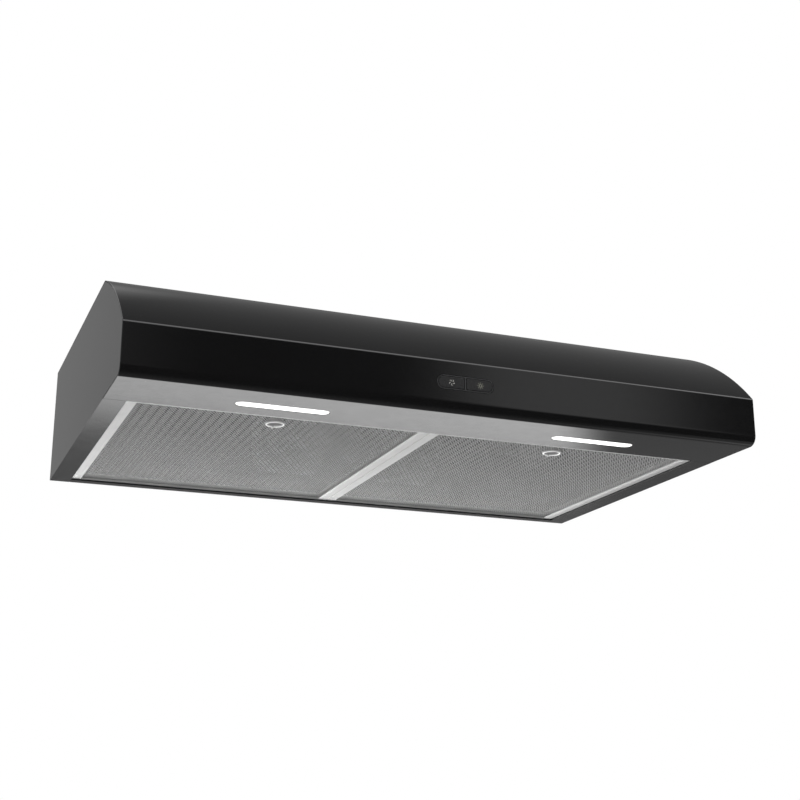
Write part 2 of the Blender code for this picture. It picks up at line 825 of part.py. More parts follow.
def leads():
    """The internal leads, each from its terminal through a hole with clearance all round."""
    box_front = BOX_DEPTH + 2 * GAP
    hole = {name: (x, out(box_front - 0.006), up(LEAD_HOLE_UP)) for name, x in LEAD_HOLES.items()}
    ahead = {name: (x, out(box_front + 0.012), up(LEAD_HOLE_UP)) for name, x in LEAD_HOLES.items()}
    motor_route = [
        (0.019, out(BLOWER_OUT + MOTOR_RADIUS + GAP + 0.0005), up(BLOWER_UP + 0.004)),
        (0.019, out(BLOWER_OUT + MOTOR_RADIUS + 0.014), up(BLOWER_UP + 0.006)),
        (0.045, out(0.172), up(0.100)),
        (0.120, out(0.182), up(0.130)),
        (0.220, out(0.150), up(0.134)),
        (0.285, out(0.105), up(0.128)),
        ahead["motor"],
        hole["motor"],
    ]
    lead("lead_motor", motor_route, LEAD_RADIUS)
    driver_rear = LIGHT_OUT - DRIVER_HALF[1]
    supply_route = [
        (0.030, out(driver_rear - GAP), up(0.014)),
        (0.030, out(driver_rear - 0.014), up(0.016)),
        (0.060, out(0.375), up(0.060)),
        (0.150, out(0.340), up(0.125)),
        (0.260, out(0.240), up(0.136)),
        (0.322, out(0.130), up(0.130)),
        ahead["supply"],
        hole["supply"],
    ]
    lead("lead_supply", supply_route, LEAD_RADIUS)
    control_route = [
        (0.000, out(HOUSING_REAR - 2 * GAP), up(0.034)),
        (0.000, out(HOUSING_REAR - 0.0065), up(0.034)),
        (0.006, out(0.465), up(0.025)),
        (DRIVER_X, out(0.458), up(0.016)),
        (DRIVER_X, out(LIGHT_OUT + DRIVER_HALF[1] + 2 * GAP), up(0.016)),
    ]
    lead("lead_control", control_route, 0.0018)
    for side, sign in SIDES.items():
        start = DRIVER_X + sign * (DRIVER_HALF[0] + 2 * GAP)
        end = sign * (LIGHT_X - LIGHT_BOX_HALF[0] + 0.004)
        light_route = [
            (start, out(LIGHT_OUT), up(0.0090)),
            (start + sign * 0.010, out(LIGHT_OUT), up(0.0090)),
            (end - sign * 0.010, out(LIGHT_OUT), up(LEAD_ENTRY)),
            (end, out(LIGHT_OUT), up(LEAD_ENTRY)),
        ]
        lead(f"lead_light_{side}", light_route, 0.0013)


# ---- Lights -------------------------------------------------------------------------------------


def light(side, sign):
    middle = (sign * LIGHT_X, out(LIGHT_OUT))
    bar = stadium(middle, LIGHT_LENGTH, LIGHT_WIDTH)
    lens = prism(f"light_lens_{side}", [bar], up(0.0001), up(0.0020), "Z", LENS)
    rim = stadium(middle, LIGHT_LENGTH + 0.006, LIGHT_WIDTH + 0.005)
    join(lens, prism(f"lens_rim_{side}", [rim], up(SHEET + GAP), up(0.0028), "Z"))
    half_x, half_y = LIGHT_BOX_HALF
    low = (middle[0] - half_x, middle[1] - half_y, up(SHEET + GAP))
    high = (middle[0] + half_x, middle[1] + half_y, up(0.0130))
    housing = open_box(f"light_housing_{side}", low, high, 0.0012, ("Z", -1), STEEL)
    inner_end = sign * (LIGHT_X - half_x)
    entry = rod(
        f"light_entry_{side}",
        0.0018,
        (inner_end - 0.004, middle[1], up(LEAD_ENTRY)),
        (inner_end + 0.004, middle[1], up(LEAD_ENTRY)),
        steps=16,
    )
    cut(housing, entry)
    block(
        f"led_board_{side}",
        (middle[0] - 0.052, middle[1] - 0.006, up(0.0090)),
        (middle[0] + 0.052, middle[1] + 0.006, up(0.0090 + BOARD_SHEET)),
        BOARD,
    )


def led_driver():
    half_x, half_y = DRIVER_HALF
    block(
        "led_driver",
        (DRIVER_X - half_x, out(LIGHT_OUT - half_y), up(SHEET + GAP)),
        (DRIVER_X + half_x, out(LIGHT_OUT + half_y), up(0.0230)),
        PLASTIC,
    )


# ---- Controls -----------------------------------------------------------------------------------


def control_bezel():
    middle = (0, up(CONTROL_UP))
    front = out(DEPTH + BEZEL_PROUD)
    rear = out(BEZEL_REAR)
    rim = [stadium(middle, BEZEL_LENGTH, BEZEL_HEIGHT)]
    for sign in SIDES.values():
        outer = BEZEL_LENGTH / 2 - BEZEL_RIM
        height = BEZEL_HEIGHT - 2 * BEZEL_RIM
        rim.append(half_stadium(sign, DIVIDER / 2, outer, middle[1], height))
    prism("control_bezel", rim, front, rear, "Y", PLASTIC)


def button(name, sign):
    """A button that fills its half of the bezel, with a flange behind that keeps it in."""
    inner = DIVIDER / 2 + GAP
    outer = BEZEL_LENGTH / 2 - BEZEL_RIM - GAP
    height = BEZEL_HEIGHT - 2 * (BEZEL_RIM + GAP)
    middle = up(CONTROL_UP)
    front = out(DEPTH + BEZEL_PROUD)
    face = half_stadium(sign, inner, outer, middle, height)
    step = out(BEZEL_REAR - GAP)
    made = prism(name, [face], front, step + 0.0007, "Y", PLASTIC)
    grow = BUTTON_FLANGE
    back = half_stadium(sign, inner - grow, outer + grow, middle, height + 2 * grow)
    join(made, prism(name + "_flange", [back], step, out(BUTTON_REAR), "Y"))


def control_board():
    middle = up(CONTROL_UP)
    base = BOARD_FRONT + GAP
    block(
        "control_board",
        (-0.037, out(BOARD_FRONT), middle - 0.009),
        (0.037, out(BOARD_FRONT - BOARD_SHEET), middle + 0.009),
        BOARD,
    )
    for name, sign in (("fan", -1), ("light", 1)):
        x = sign * 0.025
        switch = block(
            "switch_" + name,
            (x - 0.003, out(base), middle - 0.003),
            (x + 0.003, out(base + 0.0022), middle + 0.003),
            PLASTIC,
        )
        plunger = rod(
            "plunger_" + name,
            0.0016,
            (x, out(base + 0.001), middle),
            (x, out(base + 0.0031), middle),
            steps=12,
        )
        join(switch, plunger)
        guide_x = sign * 0.0165
        rod(
            "light_guide_" + name,
            0.0022,
            (guide_x, out(base), middle),
            (guide_x, out(base + 0.0032), middle),
            LENS,
            steps=12,
        )
    low = (-0.041, out(DEPTH - SHEET - GAP), middle - 0.0119)
    high = (0.041, out(HOUSING_REAR), middle + 0.0119)
    open_box("control_housing", low, high, 0.0012, ("Y", -1), PLASTIC)


# ---- Grease filters -----------------------------------------------------------------------------


def filter_rectangle(middle, side, front=None, rear=None):
    """The filter's outline, moved in at its sides, and at its front and rear by as much or as given."""
    low = (middle - FILTER_HALF + side, out(FILTER_FRONT) + (front or side))
    high = (middle + FILTER_HALF - side, out(FILTER_REAR) - (rear or side))
    return rectangle(low, high)


def filter_frame(side, middle):
    """A rolled channel round four sides, open inwards, that holds the meshes."""
    outer = filter_rectangle(middle, 0)
    window = filter_rectangle(middle, FRAME_WIDTH, FRONT_RAIL, REAR_RAIL)
    low = up(FILTER_LOW)
    high = up(FILTER_HIGH)
    frame = prism(f"filter_frame_{side}", [outer, window], low, high, "Z", ALUMINIUM)
    slot = filter_rectangle(middle, FRAME_SHEET)
    floor = low + FRAME_LIP
    cut(frame, prism(f"channel_{side}", [slot], floor, high - FRAME_SHEET, "Z"))


def filter_meshes(side, middle):
    """Three flat mesh sheets, the lower two cut out round the pull cup."""
    place = (middle, out(PULL_OUT))
    for layer, height in MESH_HEIGHTS.items():
        loops = [filter_rectangle(middle, FRAME_SHEET + GAP)]
        if layer != "back":
            radius = CUP_RADIUS if layer == "face" else BOWL_RADIUS + CUP_SHEET
            loops.append(circle(place, radius + GAP))
        low = up(height)
        prism(f"filter_{layer}_mesh_{side}", loops, low, low + MESH_SHEET, "Z", MESH)


def pull_cup(side, middle):
    """A shallow cup behind the ring, with a small staple that the ring hangs in."""
    rim = MESH_HEIGHTS["face"]
    wall = BOWL_RADIUS + CUP_SHEET
    profile = [
        (0, CUP_TOP),
        (wall, CUP_TOP),
        (wall, rim + CUP_SHEET),
        (CUP_RADIUS, rim + CUP_SHEET),
        (CUP_RADIUS, rim),
        (BOWL_RADIUS, rim),
        (BOWL_RADIUS, CUP_TOP - CUP_SHEET),
        (0, CUP_TOP - CUP_SHEET),
    ]
    place = (middle, out(PULL_OUT), up(0))
    cup = turned(f"pull_cup_{side}", profile, place, ALUMINIUM, closed=False, steps=FINE)
    ring_up = rim - GAP - RING_WIRE
    slot = RING_WIRE + GAP
    wall = 0.0004
    y = out(PULL_OUT) + RING_RADIUS
    top = up(rim + CUP_SHEET / 2)
    low = up(ring_up)
    staple = [
        (y - slot - wall, top),
        (y - slot - wall, low - slot - wall),
        (y + slot + wall, low - slot - wall),
        (y + slot + wall, top),
        (y + slot, top),
        (y + slot, low - slot),
        (y - slot, low - slot),
        (y - slot, top),
    ]
    join(cup, prism(f"staple_{side}", [staple], middle - 0.001, middle + 0.001, "X"))
    wire = [(RING_RADIUS + r, z) for r, z in reversed(circle((0, 0), RING_WIRE, 8))]
    turned(f"pull_ring_{side}", wire, (middle, out(PULL_OUT), up(ring_up)), ALUMINIUM)


def leaf_spring(side, middle):
    """A bowed strip on the frame's rear edge, that pushes the filter forward against the lip."""
    half = 0.030
    bow = 0.0084
    radius = (half**2 + bow**2) / (2 * bow)
    spread = math.asin(half / radius)
    ends = out(FILTER_REAR - GAP - SPRING_SHEET)
    centre = (middle, ends + bow - radius)
    start = math.pi / 2 - spread
    end = math.pi / 2 + spread
    inner = arc(centre, radius - SPRING_SHEET, end, start, 12)
    outline = arc(centre, radius, start, end, 12) + inner
    prism(f"leaf_spring_{side}", [outline], up(0.0035), up(0.0095), "Z", STEEL)


# ---- Assembly -----------------------------------------------------------------------------------


def build():
    hood_shell()
    rear_panel()
    duct_collar()
    damper()
    blower_plate()
    motor()
    motor_cradle()
    capacitor()
    wiring_box()
    led_driver()
    leads()
    control_bezel()
    button("button_fan", -1)
    button("button_light", 1)
    control_board()
    for side, sign in SIDES.items():
        side_panel(side, sign)
        scroll(side, sign)
        inlet_ring(side, sign)
        blower_wheel(side, sign)
        light(side, sign)
        middle = sign * FILTER_MIDDLE
        filter_frame(side, middle)
        filter_meshes(side, middle)
        pull_cup(side, middle)
        leaf_spring(side, middle)


build()
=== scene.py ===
"""Finishes and fine shapes of an under cabinet range hood, with its camera, light and floor.

Metres, +Z up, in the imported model's frame. Every new piece rides on a body, and most of them stand
for a CAD node. Angles are in radians unless a comment says degrees.
"""

import json
import math

import bmesh
import bpy
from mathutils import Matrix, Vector

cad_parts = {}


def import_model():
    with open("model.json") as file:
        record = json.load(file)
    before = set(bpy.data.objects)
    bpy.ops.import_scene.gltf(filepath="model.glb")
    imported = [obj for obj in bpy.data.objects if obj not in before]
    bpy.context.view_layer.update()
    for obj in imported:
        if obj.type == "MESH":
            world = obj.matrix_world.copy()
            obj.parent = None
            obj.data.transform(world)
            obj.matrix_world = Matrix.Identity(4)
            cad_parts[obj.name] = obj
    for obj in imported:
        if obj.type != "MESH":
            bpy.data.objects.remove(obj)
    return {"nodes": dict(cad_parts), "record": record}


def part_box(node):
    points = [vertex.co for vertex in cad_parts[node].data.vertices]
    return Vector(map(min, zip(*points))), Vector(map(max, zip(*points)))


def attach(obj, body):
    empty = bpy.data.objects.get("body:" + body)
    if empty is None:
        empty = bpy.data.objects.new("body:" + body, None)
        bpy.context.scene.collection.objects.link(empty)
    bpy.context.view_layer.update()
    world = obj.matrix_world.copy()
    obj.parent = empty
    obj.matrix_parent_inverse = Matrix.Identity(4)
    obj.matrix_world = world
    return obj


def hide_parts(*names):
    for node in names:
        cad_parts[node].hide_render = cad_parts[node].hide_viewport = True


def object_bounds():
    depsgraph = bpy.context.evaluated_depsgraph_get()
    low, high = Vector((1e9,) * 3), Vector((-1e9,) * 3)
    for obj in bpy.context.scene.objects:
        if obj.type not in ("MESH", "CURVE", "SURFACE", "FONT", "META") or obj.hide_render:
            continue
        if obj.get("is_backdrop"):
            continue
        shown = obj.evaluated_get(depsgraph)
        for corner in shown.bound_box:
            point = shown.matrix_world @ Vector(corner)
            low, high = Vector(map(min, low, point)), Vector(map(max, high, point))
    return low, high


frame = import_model()
CAD_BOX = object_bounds()

BODIES = frame["record"]["behaviour"]["bodies"]
BODY_OF = {node: body for body, members in BODIES.items() for node in members}
SIDES = {"left": -1, "right": 1}

CAMERA_PLACE = (-0.6013, -1.6422, -0.5765)
CAMERA_TURN = (106.856, 0.0, -21.514)  # degrees
CAMERA_LENS = 62.254
SENSOR = 36.0
FLOOR_Z = -2.6
FLOOR_REACH = 60.0

MERGE = 1e-6
FLAT = math.radians(0.4)  # faces that meet at less than this are joined up
SHARP = math.radians(33)  # an edge that turns more than this is rounded
FULL_TURN = math.tau
HALF_TURN = math.pi
QUARTER = math.pi / 2

SHEET = 0.001
GAP = 0.0003  # between a part and the hole that it sits in
TOP_DEPTH = 0.360  # the flat top, out from the wall
FACE_HEIGHT = 0.0565  # the upright front, up from the bottom
CURVE_RADIUS = 0.3531  # between the flat top and the upright front
BEND_RADIUS = 0.007  # where the flat top turns into the curve
CREASE_RADIUS = 0.0035  # where the curve turns into the upright front
NOSE_RADIUS = 0.012  # where the upright front turns into the lip
UPSTAND = 0.012  # how far the lip turns up at its rear
OPENING_FRONT = 0.399  # the upstand, out from the wall
WALL_Y = 0.180
LIGHT_X = 0.1908
LIGHT_OUT = 0.4334  # out from the wall
LIGHT_LENGTH = 0.1063
LIGHT_WIDTH = 0.0160
LENS_PLAY = 0.0005  # a light bar's inset from its slot
CAP_PLAY = 0.0004  # how much narrower the bezel and the caps are than in the CAD
MARK_X = {"fan": -0.0165, "light": 0.0180}
INK = 0.00003  # how far a cap is set back, which leaves room for its printed mark
COLLAR_FLANGE = 0.012
CABLE_HOLE = 0.0112  # radius
KEYHOLES = [(x, y) for x in (-0.330, 0.330) for y in (-0.080, 0.080)]
SHELL_EDGE = 0.00046  # rounding of the wrap's two ends

FRAME_SIDE = 0.0123  # the filter frame's flanges, as seen from below
FRAME_FRONT = 0.0092
FRAME_REAR = 0.0046
FRAME_LIP = 0.0022  # how thick the lower flange is
RING_WIRE = 0.0008  # radius
STAPLE_REACH = 0.0018  # how high the staple stands, up from the cup's lowest point
STRAND = 0.00015  # how thick the meshes' strands are
MESH_REACH = 0.0009  # how far a mesh goes in under the frame's flanges

# Each foil: the pitch of its openings in x and y, an opening's size against its cell's, how much
# smaller its hole is than the finger cup's rim (None for no hole), and its finish (None for the
# one of its slot).
FOILS = {
    "face": ((0.00331, 0.00600), 0.77, -0.0001, None),
    "core": ((0.00496, 0.00600), 0.82, 0.0030, "core_mesh"),
    "back": ((0.00620, 0.01100), 0.34, None, "back_mesh"),
}


# ---- Node graphs --------------------------------------------------------------------------------


class Graph:
    """Adds nodes to a material or a world. A socket given as a value is linked, a number is set."""

    def __init__(self, tree):
        self.tree = tree

    def fill(self, node, values):
        for key, value in values.items():
            socket = node.inputs[key]
            if isinstance(value, bpy.types.NodeSocket):
                self.tree.links.new(value, socket)
            else:
                socket.default_value = value

    def add(self, kind, values=None, output=0, **settings):
        node = self.tree.nodes.new(kind)
        for key, value in settings.items():
            setattr(node, key, value)
        self.fill(node, values or {})
        return node.outputs[output]

    def math(self, operation, first, second=0.0):
        return self.add("ShaderNodeMath", {0: first, 1: second}, operation=operation)

    def blend(self, first, share, second):
        """The first value's share, and the rest of the second value."""
        parts = self.math("MULTIPLY", first, share), self.math("MULTIPLY", second, 1 - share)
        return self.math("ADD", *parts)

    def ramp(self, value, low, high, to_low=0.0, to_high=1.0, smooth=False):
        kind = "SMOOTHSTEP" if smooth else "LINEAR"
        values = {"Value": value, "From Min": low, "From Max": high}
        values.update({"To Min": to_low, "To Max": to_high})
        return self.add("ShaderNodeMapRange", values, interpolation_type=kind)

    def spread(self, noise, low, high):
        """From low to high over the span that holds most of a noise's values."""
        return self.ramp(noise, 0.3, 0.7, low, high)

    def tint(self, factor, first, second):
        """A colour between two. In a colour mix, 0 is the factor, and 6 and 7 are the colours."""
        values = {0: factor, 6: (*first, 1), 7: (*second, 1)}
        return self.add("ShaderNodeMix", values, output=2, data_type="RGBA")

    def place(self, stretch=(1, 1, 1)):
        """The point on the piece, in metres, stretched along its axes."""
        point = self.add("ShaderNodeTexCoord", output=3)
        values = {"Vector": point, "Scale": stretch}
        return self.add("ShaderNodeMapping", values)

    def noise(self, scale, detail=3.0, stretch=(1, 1, 1)):
        values = {"Vector": self.place(stretch), "Scale": scale, "Detail": detail}
        return self.add("ShaderNodeTexNoise", values)

    def height(self):
        """The point's height on the piece, in metres."""
        return self.add("ShaderNodeSeparateXYZ", {0: self.place()}, output=2)


LOOKS = {}


def look(name, values=None):
    """A new material: its graph and its Principled shader, with uniform values set."""
    made = bpy.data.materials.new("finish_" + name)
    made.use_nodes = True
    shader = made.node_tree.nodes["Principled BSDF"]
    graph = Graph(made.node_tree)
    graph.fill(shader, values or {})
    LOOKS[name] = made
    return graph, shader


def surface(graph, shader, colour, roughness, relief, distance, strength):
    """Links what varies over a surface: its colour, its roughness and its fine relief."""
    values = {"Height": relief, "Distance": distance, "Strength": strength}
    normal = graph.add("ShaderNodeBump", values)
    graph.fill(shader, {"Base Color": colour, "Roughness": roughness, "Normal": normal})


def paint_look():
    """Semi-gloss black enamel: faint orange peel, and gloss that varies a little over the sheet."""
    graph, shader = look("black_paint")
    colour = graph.tint(graph.noise(11, 2), (0.0012, 0.0012, 0.0013), (0.0022, 0.0022, 0.0024))
    roughness = graph.spread(graph.noise(90, 4), 0.080, 0.105)
    surface(graph, shader, colour, roughness, graph.noise(620, 2), 0.00002, 0.35)


def brushed(graph, shader, colour):
    """Rolled or drawn aluminium's fine grain, over the colour."""
    grain = graph.noise(900, 3, (1, 0.06, 1))
    surface(graph, shader, colour, graph.spread(grain, 0.36, 0.50), grain, 0.00003, 0.4)


def aluminium_look(name, metallic, dark, light):
    """Rolled aluminium with a fine grain."""
    graph, shader = look(name, {"Metallic": metallic})
    brushed(graph, shader, graph.tint(graph.noise(35, 4), dark, light))


def cup_look():
    """Dull pressed aluminium, and bare bright wire on the staple, which stands lowest."""
    graph, shader = look("cup", {"Metallic": 0.5})
    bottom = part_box("pull_cup_left")[0].z
    staple = graph.ramp(graph.height(), bottom + STAPLE_REACH, bottom + 0.8 * STAPLE_REACH)
    shade = graph.math("ADD", staple, graph.math("MULTIPLY", graph.noise(35, 4), 0.15))
    brushed(graph, shader, graph.tint(shade, (0.30, 0.30, 0.30), (0.58, 0.58, 0.58)))


def mesh_look(name, dark, light):
    """Expanded aluminium foil, duller than the frame."""
    graph, shader = look(name, {"Metallic": 0.5})
    speck = graph.noise(700, 2)
    colour = graph.tint(graph.noise(18, 3), dark, light)
    surface(graph, shader, colour, graph.spread(speck, 0.38, 0.55), speck, 0.00003, 0.5)


def back_mesh_look():
    """The foil furthest in: bare aluminium on top, and painted dark and dull below, where it is seen
    through the other two foils, as painted shade.
    """
    graph, shader = look("back_mesh", {"Specular IOR Level": 0.0})
    speck = graph.noise(700, 2)
    normal = graph.add("ShaderNodeTexCoord", output=1)
    # Painted shade: the down-facing side is painted near black and non-metallic, and the up-facing
    # side stays bare aluminium.
    up = graph.ramp(graph.add("ShaderNodeSeparateXYZ", {0: normal}, output=2), -0.1, 0.2)
    tone = graph.math("MULTIPLY", up, graph.spread(speck, 0.85, 1.0))
    colour = graph.tint(tone, (0.008, 0.008, 0.008), (0.45, 0.45, 0.447))
    surface(graph, shader, colour, graph.spread(speck, 0.45, 0.65), speck, 0.00003, 0.5)
    graph.fill(shader, {"Metallic": graph.math("MULTIPLY", up, 0.4)})


def zinc_look(name, dark, light, scale):
    """Hot-dip zinc: flat crystals, each with its own grey and its own gloss."""
    graph, shader = look(name, {"Metallic": 1.0})
    values = {"Vector": graph.place(), "Scale": scale}
    crystal = graph.add("ShaderNodeTexVoronoi", values, output=1)
    edges = graph.add("ShaderNodeTexVoronoi", values, feature="DISTANCE_TO_EDGE")
    tone = graph.add("ShaderNodeSeparateColor", {"Color": crystal})
    mixed = graph.blend(tone, 0.75, graph.noise(380, 4))
    roughness = graph.ramp(mixed, 0.15, 0.85, 0.50, 0.30)
    relief = graph.ramp(edges, 0.0, 0.08)
    surface(graph, shader, graph.tint(mixed, dark, light), roughness, relief, 0.00002, 0.3)


def moulded_look(name, dark, light, rough, grain=1100):
    """Moulded plastic with a fine spark-eroded texture."""
    graph, shader = look(name)
    texture = graph.noise(grain, 2)
    colour = graph.tint(graph.noise(24, 3), dark, light)
    roughness = graph.spread(texture, rough - 0.05, rough + 0.07)
    surface(graph, shader, colour, roughness, texture, 0.00003, 0.4)


def board_look():
    """Green solder mask over a grid of copper tracks."""
    graph, shader = look("circuit_board")
    values = {"Vector": graph.place(), "Scale": 60.0, "Mortar Size": 0.012}
    values.update({"Mortar Smooth": 0.3, "Brick Width": 0.7, "Row Height": 0.16})
    tracks = graph.add("ShaderNodeTexBrick", values, output=1)
    cloud = graph.noise(260, 3)
    mixed = graph.blend(tracks, 0.7, cloud)
    colour = graph.tint(mixed, (0.008, 0.085, 0.03), (0.03, 0.22, 0.08))
    surface(graph, shader, colour, graph.spread(cloud, 0.25, 0.38), mixed, 0.00004, 0.6)


def lens_look():
    """An opal diffuser that glows evenly."""
    glow = {"Emission Strength": 0.40, "Emission Color": (1.0, 0.985, 0.96, 1)}
    graph, shader = look("light_lens", glow)
    speck = graph.noise(500, 2)
    colour = graph.tint(speck, (0.86, 0.86, 0.84), (0.93, 0.93, 0.92))
    surface(graph, shader, colour, graph.spread(speck, 0.28, 0.40), speck, 0.00002, 0.3)


def ink_look(name, dark, light):
    """Pad-printed ink, a little uneven."""
    graph, shader = look(name)
    grain = graph.noise(2500, 3)
    colour = graph.tint(grain, dark, light)
    surface(graph, shader, colour, graph.spread(grain, 0.45, 0.65), grain, 0.00001, 0.4)


def floor_look():
    """A pale matt floor, lit a little from within so that it runs out into the white backdrop."""
    glow = {"Emission Strength": 0.42, "Emission Color": (1, 1, 1, 1)}
    graph, shader = look("floor", glow)
    cloud = graph.noise(1.5, 3)
    colour = graph.tint(cloud, (0.80, 0.80, 0.80), (0.84, 0.84, 0.84))
    graph.fill(shader, {"Base Color": colour, "Roughness": graph.spread(cloud, 0.6, 0.7)})


def make_looks():
    paint_look()
    aluminium_look("aluminium", 0.85, (0.61, 0.61, 0.605), (0.69, 0.69, 0.685))
    cup_look()
    aluminium_look("wire", 0.3, (0.68, 0.68, 0.68), (0.76, 0.76, 0.76))
    moulded_look("bezel", (0.015, 0.015, 0.016), (0.022, 0.022, 0.023), 0.42)
    mesh_look("filter_mesh", (0.26, 0.26, 0.258), (0.32, 0.32, 0.318))
    mesh_look("core_mesh", (0.30, 0.30, 0.298), (0.37, 0.37, 0.368))
    back_mesh_look()
    zinc_look("galvanised_steel", (0.34, 0.35, 0.36), (0.62, 0.63, 0.64), 130)
    zinc_look("screw_zinc", (0.42, 0.43, 0.44), (0.60, 0.61, 0.62), 900)
    zinc_look("motor_steel", (0.10, 0.10, 0.105), (0.20, 0.20, 0.205), 700)
    moulded_look("black_plastic", (0.006, 0.006, 0.0065), (0.010, 0.010, 0.0105), 0.30)
    moulded_look("wheel_plastic", (0.020, 0.020, 0.021), (0.032, 0.032, 0.033), 0.45)
    moulded_look("lead_sleeve", (0.012, 0.012, 0.012), (0.03, 0.03, 0.03), 0.42, 400)
    board_look()
    lens_look()
    ink_look("fan_ink", (0.34, 0.33, 0.31), (0.46, 0.45, 0.42))
    ink_look("light_ink", (0.15, 0.15, 0.12), (0.22, 0.22, 0.18))
    floor_look()


# ---- Pieces -------------------------------------------------------------------------------------


def slot_of(node):
    """The name of a CAD node's material slot."""
    return frame["nodes"][node].material_slots[0].material.name


def piece(name, mesh, stands_for=(), body=None, finish=None):
    """A piece that rides on a body, and stands for CAD nodes if it is given any."""
    made = bpy.data.objects.new(name, mesh)
    bpy.context.scene.collection.objects.link(made)
    slot = slot_of(stands_for[0]) if stands_for else None
    mesh.materials.append(LOOKS[finish or slot])
    if stands_for:
        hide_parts(*stands_for)
        body = BODY_OF[stands_for[0]]
    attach(made, body)
    return made


def to_mesh(name, edit):
    mesh = bpy.data.meshes.new(name)
    bmesh.ops.recalc_face_normals(edit, faces=edit.faces)
    edit.to_mesh(mesh)
    edit.free()
    mesh.shade_smooth()
    mesh.set_sharp_from_angle(angle=SHARP)
    return mesh


def weigh_edges(edit, weigh):
    """Gives each sharp edge its share of the bevel."""
    layer = edit.edges.layers.float.new("bevel_weight_edge")
    for edge in edit.edges:
        if edge.is_manifold and edge.calc_face_angle() > SHARP:
            edge[layer] = weigh(edge)


def flat_shading(made):
    """Keeps large flat faces flat in their shading."""
    normals = made.modifiers.new("normals", "WEIGHTED_NORMAL")
    normals.keep_sharp = True


def soften(made, width, segments):
    """Rounds the weighted edges, and keeps flat faces flat in their shading."""
    bevel = made.modifiers.new("edges", "BEVEL")
    bevel.width = width
    bevel.segments = segments
    bevel.limit_method = "WEIGHT"
    bevel.miter_outer = "MITER_ARC"
    flat_shading(made)


def evenly(edge):
    """Weighs every edge the same."""
    return 1.0


def smooth_piece(name, edit, node, width, segments, weigh=evenly, finish=None):
    """A piece from a rough mesh: flat faces joined up, sharp edges rounded."""
    bmesh.ops.remove_doubles(edit, verts=edit.verts, dist=MERGE)
    bmesh.ops.dissolve_limit(edit, angle_limit=FLAT, verts=edit.verts, edges=edit.edges)
    bmesh.ops.recalc_face_normals(edit, faces=edit.faces)
    weigh_edges(edit, weigh)
    soften(piece(name, to_mesh(name, edit), [node], finish=finish), width, segments)


def refined(node, width, segments, finish=None):
    """The CAD node's own shape with its sharp edges rounded."""
    source = frame["nodes"][node].data
    edit = bmesh.new()
    corners = [edit.verts.new(vertex.co) for vertex in source.vertices]
    for face in source.polygons:
        edit.faces.new([corners[index] for index in face.vertices])
    smooth_piece(node + "_piece", edit, node, width, segments, finish=finish)


def fill(edit, outlines, place):
    """Fills the outlines with faces, holes left open, each point put where place says."""
    rings = []
    for outline in outlines:
        ring = [edit.verts.new(place(a, b)) for a, b in outline]
        rings.extend(edit.edges.new(pair) for pair in zip(ring, ring[1:] + ring[:1]))
    bmesh.ops.triangle_fill(edit, use_beauty=True, edges=rings)


def thicken(edit, shift):
    """Extrudes every face by the shift."""
    grown = bmesh.ops.extrude_face_region(edit, geom=list(edit.faces))["geom"]
    moved = [item for item in grown if isinstance(item, bmesh.types.BMVert)]
    bmesh.ops.translate(edit, vec=shift, verts=moved)


def prism(outlines, low, high, axis, joined):
    """A rough mesh of the outlines from low to high along Y or Z, its flat ends joined up or not."""
    edit = bmesh.new()
    along_y = axis == "Y"
    fill(edit, outlines, lambda a, b: (a, low, b) if along_y else (a, b, low))
    if joined:
        bmesh.ops.dissolve_limit(edit, angle_limit=FLAT, verts=edit.verts, edges=edit.edges)
    thicken(edit, (0, high - low, 0) if along_y else (0, 0, high - low))
    bmesh.ops.recalc_face_normals(edit, faces=edit.faces)
    return edit


def block_mesh(solids):
    """One mesh of separate solids, each an outline with its low and high end and its axis."""
    mesh = bpy.data.meshes.new("cutters")
    whole = bmesh.new()
    for outline, low, high, axis in solids:
        edit = prism([outline], low, high, axis, joined=False)
        edit.to_mesh(mesh)
        whole.from_mesh(mesh)
        edit.free()
    whole.to_mesh(mesh)
    whole.free()
    return mesh


def carved(edit, solids):
    """A rough mesh less the solids."""
    shapes = [bpy.data.meshes.new("carved"), block_mesh(solids)]
    edit.to_mesh(shapes[0])
    edit.free()
    held = [bpy.data.objects.new("held", shape) for shape in shapes]
    for made in held:
        bpy.context.scene.collection.objects.link(made)
    cut = held[0].modifiers.new("cut", "BOOLEAN")
    cut.object = held[1]
    cut.solver = "EXACT"
    graph = bpy.context.evaluated_depsgraph_get()
    result = bpy.data.meshes.new_from_object(held[0].evaluated_get(graph))
    edit = bmesh.new()
    edit.from_mesh(result)
    for made, shape in zip(held, shapes):
        bpy.data.objects.remove(made)
        bpy.data.meshes.remove(shape)
    bpy.data.meshes.remove(result)
    return edit


def arc(middle, radius, start, end, steps):
    """Points along an arc, both ends included."""
    angles = [start + (end - start) * step / steps for step in range(steps + 1)]
    return [(middle[0] + radius * math.cos(a), middle[1] + radius * math.sin(a)) for a in angles]


def slab(name, outlines, low, high, axis, stands_for, edge, finish=None, body=None):
    """A plate with any holes, from low to high along Y or Z, its edges rounded by edge."""
    edit = prism(outlines, low, high, axis, joined=True)
    weigh_edges(edit, evenly)
    soften(piece(name, to_mesh(name, edit), stands_for, body, finish), edge, 3)


ROUND_END_STEPS = 28


def stadium(middle, length, height):
    """A bar with round ends, along the first axis."""
    radius = height / 2
    reach = length / 2 - radius
    right = (middle[0] + reach, middle[1])
    left = (middle[0] - reach, middle[1])
    return arc(right, radius, -QUARTER, QUARTER, ROUND_END_STEPS) + arc(
        left, radius, QUARTER, 3 * QUARTER, ROUND_END_STEPS
    )


def half_stadium(side, inner, outer, middle, height):
    """A bar with its outer end round, from inner to outer on one side."""
    radius = height / 2
    turn = arc((outer - radius, 0), radius, -QUARTER, QUARTER, ROUND_END_STEPS)
    points = [(inner, -radius)] + turn + [(inner, radius)]
    return [(side * x, middle + z) for x, z in points]


